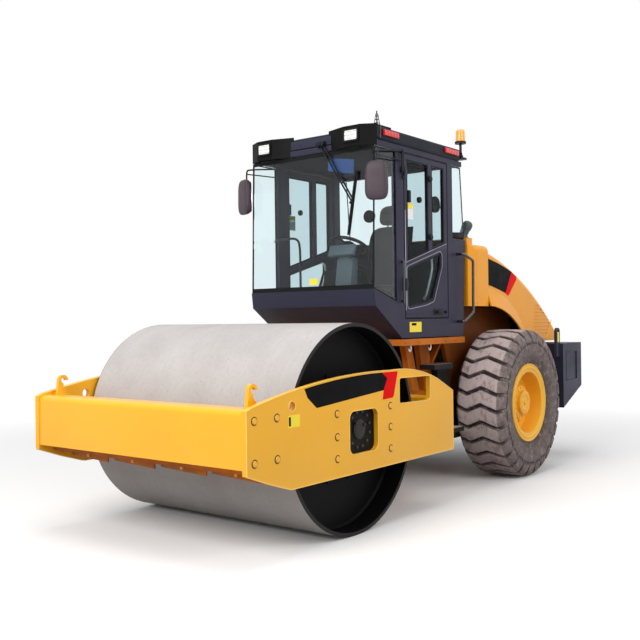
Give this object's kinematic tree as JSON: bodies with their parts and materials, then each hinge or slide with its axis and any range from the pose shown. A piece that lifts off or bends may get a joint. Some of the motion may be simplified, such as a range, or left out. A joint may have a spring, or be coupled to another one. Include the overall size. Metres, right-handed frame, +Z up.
{
  "type": "road roller",
  "caption": "Articulated single-drum road roller with a smooth steel drum in a yoke frame, an enclosed cab and two rear tyres.",
  "frame": {"origin": "on the ground, in the middle of the machine's length and width", "axes": "+X points forward, to the drum; +Y to the machine's left; +Z up"},
  "size_m": [5.97, 2.3, 3.5],
  "materials": {
    "yellow_paint": "gloss enamel",
    "slate_paint": "satin enamel",
    "drum_steel": "ground steel, slightly dusty",
    "dark_steel": "dark primer",
    "black_steel": "satin black",
    "bright_steel": "machined",
    "chrome": "polished",
    "cast_iron": "rough",
    "rubber": "matt",
    "tyre": "dusty rubber",
    "glass": "clear, faint green tint",
    "black_plastic": "fine grain",
    "seat_fabric": "woven",
    "lamp_lens": "clear ribbed",
    "red_lens": "translucent red",
    "amber_lens": "translucent amber"
  },
  "bodies": {
    "rear_frame": {"rear_frame": "yellow_paint", "frame_pins": "bright_steel", "cab_platform": "yellow_paint", "boarding_steps": "black_steel", "rear_axle": "black_steel", "counterweight": "slate_paint", "cab_mounts": "rubber", "cab_tub": "slate_paint", "cab_pillars": "slate_paint", "cab_roof": "slate_paint", "cab_glass": "glass", "operator_seat": "seat_fabric", "operator_console": "black_plastic", "mirrors": "black_plastic", "roof_lamp_housings": "black_plastic", "roof_lamp_lenses": "lamp_lens", "marker_lamps": "red_lens", "beacon": "amber_lens", "windscreen_wiper": "black_steel", "handrails": "black_steel", "hood_cowl": "yellow_paint", "exhaust_outlet": "dark_steel", "engine_block": "cast_iron"},
    "knuckle": {"centre_knuckle": "dark_steel"},
    "drum_frame": {"drum_frame_side_plates": "yellow_paint", "drum_frame_front_beam": "yellow_paint", "drum_frame_rear_beam": "yellow_paint", "drum_bearing_housings": "dark_steel", "drum_scrapers": "yellow_paint"},
    "drum": {"drum": "drum_steel", "drum_buffers": "rubber", "drum_drive_discs": "dark_steel"},
    "wheel_left": {"rim_left": "yellow_paint", "tyre_left": "tyre", "wheel_hub_left": "yellow_paint"},
    "wheel_right": {"rim_right": "yellow_paint", "tyre_right": "tyre", "wheel_hub_right": "yellow_paint"},
    "door_left": {"door_left_frame": "slate_paint", "door_left_glass": "glass"},
    "door_right": {"door_right_frame": "slate_paint", "door_right_glass": "glass"},
    "hood": {"hood": "yellow_paint"},
    "cylinder_left": {"steering_barrel_left": "dark_steel"},
    "cylinder_right": {"steering_barrel_right": "dark_steel"},
    "rod_left": {"steering_rod_left": "chrome"},
    "rod_right": {"steering_rod_right": "chrome"}
  },
  "joints": [
    {"name": "steer", "type": "hinge", "parent": "rear_frame", "child": "knuckle", "pos_m": [0.2, 0, 0.75], "axis": [0, 0, 1], "range_deg": [-33, 33]},
    {"name": "oscillate", "type": "hinge", "parent": "knuckle", "child": "drum_frame", "pos_m": [0.2, 0, 0.75], "axis": [1, 0, 0], "range_deg": [-11, 11]},
    {"name": "drum_roll", "type": "hinge", "parent": "drum_frame", "child": "drum", "pos_m": [1.7, 0, 0.8], "axis": [0, 1, 0], "continuous": true},
    {"name": "wheel_left_spin", "type": "hinge", "parent": "rear_frame", "child": "wheel_left", "pos_m": [-1.3, 0.89, 0.75], "axis": [0, 1, 0], "continuous": true},
    {"name": "wheel_right_spin", "type": "hinge", "parent": "rear_frame", "child": "wheel_right", "pos_m": [-1.3, -0.89, 0.75], "axis": [0, 1, 0], "continuous": true},
    {"name": "door_left_swing", "type": "hinge", "parent": "rear_frame", "child": "door_left", "pos_m": [0.418, 0.721, 2.4], "axis": [0, 0, -1], "range_deg": [0, 80]},
    {"name": "door_right_swing", "type": "hinge", "parent": "rear_frame", "child": "door_right", "pos_m": [0.418, -0.721, 2.4], "axis": [0, 0, 1], "range_deg": [0, 80]},
    {"name": "hood_lift", "type": "hinge", "parent": "rear_frame", "child": "hood", "pos_m": [-1.116, 0, 2.347], "axis": [0, 1, 0], "range_deg": [0, 50]},
    {"name": "cylinder_left_swing", "type": "hinge", "parent": "rear_frame", "child": "cylinder_left", "pos_m": [-0.42, 0.35, 0.75], "axis": [0, 0, 1], "range_deg": [-5, 5]},
    {"name": "cylinder_right_swing", "type": "hinge", "parent": "rear_frame", "child": "cylinder_right", "pos_m": [-0.42, -0.35, 0.75], "axis": [0, 0, 1], "range_deg": [-5, 5]},
    {"name": "rod_left_stroke", "type": "slide", "parent": "cylinder_left", "child": "rod_left", "axis": [0.9903, -0.1393, 0], "range_m": [-0.145, 0.145]},
    {"name": "rod_right_stroke", "type": "slide", "parent": "cylinder_right", "child": "rod_right", "axis": [0.9903, 0.1393, 0], "range_m": [-0.145, 0.145]}
  ],
  "couplings": [
    {"joint": "cylinder_left_swing", "follows": "steer", "ratio": -0.05},
    {"joint": "cylinder_right_swing", "follows": "steer", "ratio": -0.05},
    {"joint": "rod_left_stroke", "follows": "steer", "m_per_rad": -0.2445},
    {"joint": "rod_right_stroke", "follows": "steer", "m_per_rad": 0.2445}
  ]
}
